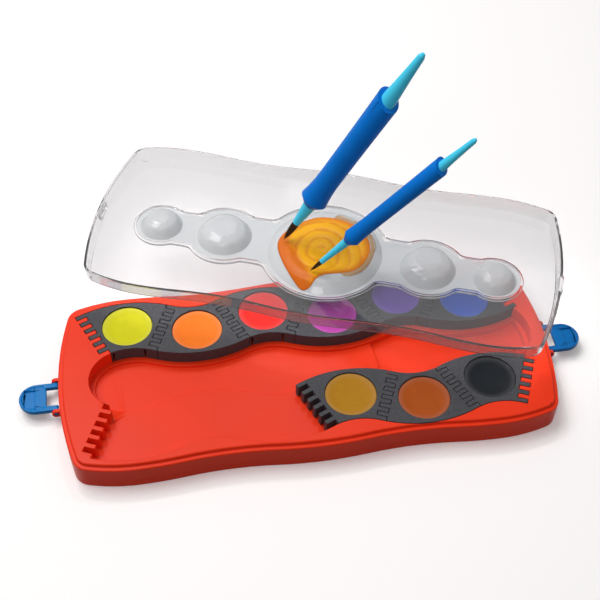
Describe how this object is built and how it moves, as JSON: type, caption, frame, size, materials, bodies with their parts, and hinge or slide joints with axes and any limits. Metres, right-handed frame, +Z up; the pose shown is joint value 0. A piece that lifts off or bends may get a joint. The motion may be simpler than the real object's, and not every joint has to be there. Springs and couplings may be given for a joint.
{
  "type": "watercolour paint set",
  "caption": "Watercolour box: open tray of clip-together colour pans, clear mixing lid above it, hinged end latches and two brushes standing in mixed paint.",
  "frame": {"origin": "centre of the tray's foot, on the surface that the tray stands on", "axes": "+X along the tray to the right, +Y to the back, +Z up"},
  "size_m": [0.3059, 0.2108, 0.1533],
  "materials": {
    "tray_plastic": "moulded, satin gloss",
    "pan_plastic": "moulded, finely grained",
    "latch_plastic": "moulded, satin gloss",
    "lid_plastic": "clear, polished",
    "wet_paint": "wet film",
    "brush_core": "moulded, polished",
    "brush_grip": "soft grip, satin",
    "brush_hair": "fine dark brown strands",
    "paint_yellow": "pressed tablet of watercolour",
    "paint_orange": "pressed tablet of watercolour",
    "paint_red": "pressed tablet of watercolour",
    "paint_magenta": "pressed tablet of watercolour",
    "paint_violet": "pressed tablet of watercolour",
    "paint_blue": "pressed tablet of watercolour",
    "paint_ochre": "pressed tablet of watercolour",
    "paint_brown": "pressed tablet of watercolour",
    "paint_black": "pressed tablet of watercolour"
  },
  "bodies": {
    "tray": {"tray": "tray_plastic"},
    "lid": {"lid": "lid_plastic", "mixed_paint": "wet_paint"},
    "latch_left": {"latch_left": "latch_plastic"},
    "latch_right": {"latch_right": "latch_plastic"},
    "yellow_pan": {"pan_yellow": "pan_plastic", "paint_yellow": "paint_yellow"},
    "orange_pan": {"pan_orange": "pan_plastic", "paint_orange": "paint_orange"},
    "red_pan": {"pan_red": "pan_plastic", "paint_red": "paint_red"},
    "magenta_pan": {"pan_magenta": "pan_plastic", "paint_magenta": "paint_magenta"},
    "violet_pan": {"pan_violet": "pan_plastic", "paint_violet": "paint_violet"},
    "blue_pan": {"pan_blue": "pan_plastic", "paint_blue": "paint_blue"},
    "ochre_pan": {"pan_ochre": "pan_plastic", "paint_ochre": "paint_ochre"},
    "brown_pan": {"pan_brown": "pan_plastic", "paint_brown": "paint_brown"},
    "black_pan": {"pan_black": "pan_plastic", "paint_black": "paint_black"},
    "small_brush": {"small_brush_handle": "brush_core", "small_brush_grip": "brush_grip", "small_brush_hair": "brush_hair"},
    "large_brush": {"large_brush_handle": "brush_core", "large_brush_grip": "brush_grip", "large_brush_hair": "brush_hair"}
  },
  "joints": [
    {"name": "lid_lift", "type": "slide", "parent": "tray", "child": "lid", "axis": [0, 0, 1], "range_m": [0, 0.06]},
    {"name": "latch_left_hinge", "type": "hinge", "parent": "tray", "child": "latch_left", "pos_m": [-0.133, 0, 0.006], "axis": [0, 1, 0], "range_deg": [0, 90]},
    {"name": "latch_right_hinge", "type": "hinge", "parent": "tray", "child": "latch_right", "pos_m": [0.133, 0, 0.006], "axis": [0, -1, 0], "range_deg": [0, 90]},
    {"name": "yellow_pan_lift", "type": "slide", "parent": "tray", "child": "yellow_pan", "axis": [0, 0, 1], "range_m": [0, 0.008]},
    {"name": "orange_pan_lift", "type": "slide", "parent": "tray", "child": "orange_pan", "axis": [0, 0, 1], "range_m": [0, 0.008]},
    {"name": "red_pan_lift", "type": "slide", "parent": "tray", "child": "red_pan", "axis": [0, 0, 1], "range_m": [0, 0.008]},
    {"name": "magenta_pan_lift", "type": "slide", "parent": "tray", "child": "magenta_pan", "axis": [0, 0, 1], "range_m": [0, 0.008]},
    {"name": "violet_pan_lift", "type": "slide", "parent": "tray", "child": "violet_pan", "axis": [0, 0, 1], "range_m": [0, 0.008]},
    {"name": "blue_pan_lift", "type": "slide", "parent": "tray", "child": "blue_pan", "axis": [0, 0, 1], "range_m": [0, 0.008]},
    {"name": "ochre_pan_lift", "type": "slide", "parent": "tray", "child": "ochre_pan", "axis": [0, 0, 1], "range_m": [0, 0.02]},
    {"name": "brown_pan_lift", "type": "slide", "parent": "tray", "child": "brown_pan", "axis": [0, 0, 1], "range_m": [0, 0.02]},
    {"name": "black_pan_lift", "type": "slide", "parent": "tray", "child": "black_pan", "axis": [0, 0, 1], "range_m": [0, 0.008]},
    {"name": "small_brush_pull", "type": "slide", "parent": "lid", "child": "small_brush", "axis": [0.637, -0.0861, 0.766], "range_m": [0, 0.05]},
    {"name": "large_brush_pull", "type": "slide", "parent": "lid", "child": "large_brush", "axis": [0.4999, 0.0079, 0.866], "range_m": [0, 0.05]}
  ]
}
